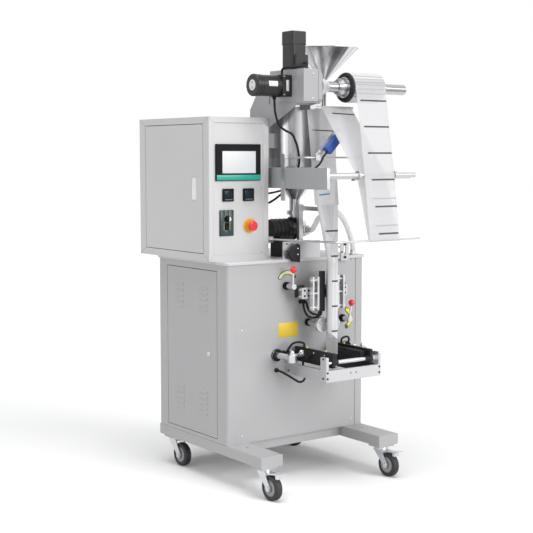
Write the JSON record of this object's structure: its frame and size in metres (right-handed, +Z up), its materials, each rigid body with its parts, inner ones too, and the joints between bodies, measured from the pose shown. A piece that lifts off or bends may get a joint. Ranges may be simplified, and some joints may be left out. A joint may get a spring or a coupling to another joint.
{
  "type": "sachet filling and sealing machine",
  "caption": "Upright machine on casters that forms film into a tube, fills it with sauce or paste and seals it into sachets.",
  "frame": {"origin": "floor level under the centre of the machine's bounding box", "axes": "+Z up, +X along the front to the right as seen from the front, +Y back into the machine"},
  "size_m": [0.851, 0.958, 1.795],
  "materials": {
    "steel_sheet": "satin",
    "turned_steel": "satin",
    "bright_chrome": "polished",
    "machined_aluminium": "satin",
    "grey_paint": "satin",
    "black_metal": "satin",
    "black_plastic": "matte",
    "yellow_plastic": "gloss",
    "red_plastic": "gloss",
    "blue_plastic": "gloss",
    "film": "matte",
    "clear_hose": "gloss",
    "black_rubber": "matte",
    "black_tyre": "matte"
  },
  "bodies": {
    "machine": {"base_frame": "steel_sheet", "cabinet_shell": "steel_sheet", "cabinet_lid": "steel_sheet", "control_box_shell": "steel_sheet", "touch_screen": "black_plastic", "panel_meters": "black_plastic", "stop_ring": "yellow_plastic", "lever_arcs": "yellow_plastic", "panel_bushes": "black_plastic", "vertical_jaw_slide": "turned_steel", "sealing_frame": "machined_aluminium", "sealing_guide_rods": "bright_chrome", "sealing_drives": "bright_chrome", "forming_cone": "turned_steel", "fill_tube": "turned_steel", "cone_stand": "turned_steel", "former_bracket": "machined_aluminium", "film_web": "film", "film_sleeve": "film", "gear_housing": "grey_paint", "roll_motor": "black_metal", "stirrer_motor": "black_metal", "hopper": "steel_sheet", "hopper_outlet": "steel_sheet", "hopper_lid": "steel_sheet", "funnel": "steel_sheet", "pipe_clamp": "turned_steel", "filling_pump": "turned_steel", "mast_plate": "grey_paint", "film_arm": "grey_paint", "guide_rods": "bright_chrome", "dancer_rod": "bright_chrome", "photo_eye_bracket": "turned_steel", "photo_eye": "blue_plastic", "jaw_cables": "black_rubber", "hoses": "clear_hose", "machine_cables": "black_rubber"},
    "cabinet_door": {"cabinet_door": "steel_sheet"},
    "box_door": {"control_box_door": "steel_sheet"},
    "stop_button": {"stop_button": "red_plastic"},
    "regulator_knob": {"regulator_knob": "black_plastic"},
    "rocker_switch": {"rocker_switch": "black_plastic"},
    "clutch_lever_1": {"clutch_lever_1": "bright_chrome"},
    "clutch_lever_2": {"clutch_lever_2": "bright_chrome"},
    "pull_wheel_left": {"pull_wheel_left": "turned_steel"},
    "pull_wheel_right": {"pull_wheel_right": "turned_steel"},
    "film_roll": {"film_roll": "film", "roll_shaft": "turned_steel"},
    "vertical_jaw_left": {"vertical_jaw_left": "black_metal"},
    "vertical_jaw_right": {"vertical_jaw_right": "black_metal"},
    "horizontal_jaw_left": {"horizontal_jaw_left": "black_metal"},
    "horizontal_jaw_right": {"horizontal_jaw_right": "black_metal"},
    "caster_front_left": {"caster_fork_front_left": "bright_chrome"},
    "wheel_front_left": {"caster_wheel_front_left": "black_tyre"},
    "caster_front_right": {"caster_fork_front_right": "bright_chrome"},
    "wheel_front_right": {"caster_wheel_front_right": "black_tyre"},
    "caster_rear_left": {"caster_fork_rear_left": "bright_chrome"},
    "wheel_rear_left": {"caster_wheel_rear_left": "black_tyre"},
    "caster_rear_right": {"caster_fork_rear_right": "bright_chrome"},
    "wheel_rear_right": {"caster_wheel_rear_right": "black_tyre"}
  },
  "joints": [
    {"name": "cabinet_door_hinge", "type": "hinge", "parent": "machine", "child": "cabinet_door", "pos_m": [-0.3835, 0.316, 0.52], "axis": [0, 0, -1], "range_deg": [0, 110]},
    {"name": "box_door_hinge", "type": "hinge", "parent": "machine", "child": "box_door", "pos_m": [-0.4215, 0.423, 1.179], "axis": [0, 0, -1], "range_deg": [0, 110]},
    {"name": "stop_button_push", "type": "slide", "parent": "machine", "child": "stop_button", "axis": [0, 1, 0], "range_m": [0, 0.004], "stiffness_N_per_m": 1500},
    {"name": "regulator_knob_turn", "type": "hinge", "parent": "machine", "child": "regulator_knob", "pos_m": [-0.3405, -0.062, 1.061], "axis": [0, 1, 0], "range_deg": [-140, 140]},
    {"name": "rocker_switch_rock", "type": "hinge", "parent": "machine", "child": "rocker_switch", "pos_m": [-0.3425, -0.055, 1.031], "axis": [1, 0, 0], "range_deg": [-8, 8]},
    {"name": "clutch_lever_1_turn", "type": "hinge", "parent": "machine", "child": "clutch_lever_1", "pos_m": [-0.0995, -0.169, 0.787], "axis": [0, 1, 0], "range_deg": [-45, 45]},
    {"name": "clutch_lever_2_turn", "type": "hinge", "parent": "machine", "child": "clutch_lever_2", "pos_m": [0.1945, -0.169, 0.633], "axis": [0, 1, 0], "range_deg": [0, 110]},
    {"name": "pull_wheel_left_turn", "type": "hinge", "parent": "machine", "child": "pull_wheel_left", "pos_m": [0.0142, -0.209, 0.63], "axis": [0, 1, 0], "continuous": true},
    {"name": "pull_wheel_right_turn", "type": "hinge", "parent": "machine", "child": "pull_wheel_right", "pos_m": [0.0748, -0.209, 0.63], "axis": [0, 1, 0], "continuous": true},
    {"name": "film_roll_turn", "type": "hinge", "parent": "machine", "child": "film_roll", "pos_m": [0.2125, -0.232, 1.581], "axis": [1, 0, 0], "continuous": true},
    {"name": "vertical_jaw_left_close", "type": "slide", "parent": "machine", "child": "vertical_jaw_left", "axis": [1, 0, 0], "range_m": [0, 0.013]},
    {"name": "vertical_jaw_right_close", "type": "slide", "parent": "machine", "child": "vertical_jaw_right", "axis": [-1, 0, 0], "range_m": [0, 0.013]},
    {"name": "horizontal_jaw_left_close", "type": "slide", "parent": "machine", "child": "horizontal_jaw_left", "axis": [1, 0, 0], "range_m": [0, 0.059]},
    {"name": "horizontal_jaw_right_close", "type": "slide", "parent": "machine", "child": "horizontal_jaw_right", "axis": [-1, 0, 0], "range_m": [0, 0.059]},
    {"name": "swivel_front_left", "type": "hinge", "parent": "machine", "child": "caster_front_left", "pos_m": [-0.3445, -0.313, 0.112], "axis": [0, 0, 1], "continuous": true},
    {"name": "wheel_turn_front_left", "type": "hinge", "parent": "caster_front_left", "child": "wheel_front_left", "pos_m": [-0.34289, -0.35897, 0.049], "axis": [0.9994, 0.0349, 0], "continuous": true},
    {"name": "swivel_front_right", "type": "hinge", "parent": "machine", "child": "caster_front_right", "pos_m": [0.2485, -0.313, 0.112], "axis": [0, 0, 1], "continuous": true},
    {"name": "wheel_turn_front_right", "type": "hinge", "parent": "caster_front_right", "child": "wheel_front_right", "pos_m": [0.25011, -0.35897, 0.049], "axis": [0.9994, 0.0349, 0], "continuous": true},
    {"name": "swivel_rear_left", "type": "hinge", "parent": "machine", "child": "caster_rear_left", "pos_m": [-0.3445, 0.33, 0.112], "axis": [0, 0, 1], "continuous": true},
    {"name": "wheel_turn_rear_left", "type": "hinge", "parent": "caster_rear_left", "child": "wheel_rear_left", "pos_m": [-0.34289, 0.28403, 0.049], "axis": [0.9994, 0.0349, 0], "continuous": true},
    {"name": "swivel_rear_right", "type": "hinge", "parent": "machine", "child": "caster_rear_right", "pos_m": [0.2485, 0.33, 0.112], "axis": [0, 0, 1], "continuous": true},
    {"name": "wheel_turn_rear_right", "type": "hinge", "parent": "caster_rear_right", "child": "wheel_rear_right", "pos_m": [0.25011, 0.28403, 0.049], "axis": [0.9994, 0.0349, 0], "continuous": true}
  ],
  "couplings": [
    {"joint": "pull_wheel_right_turn", "follows": "pull_wheel_left_turn", "ratio": -1},
    {"joint": "vertical_jaw_right_close", "follows": "vertical_jaw_left_close", "ratio": 1},
    {"joint": "horizontal_jaw_right_close", "follows": "horizontal_jaw_left_close", "ratio": 1}
  ]
}
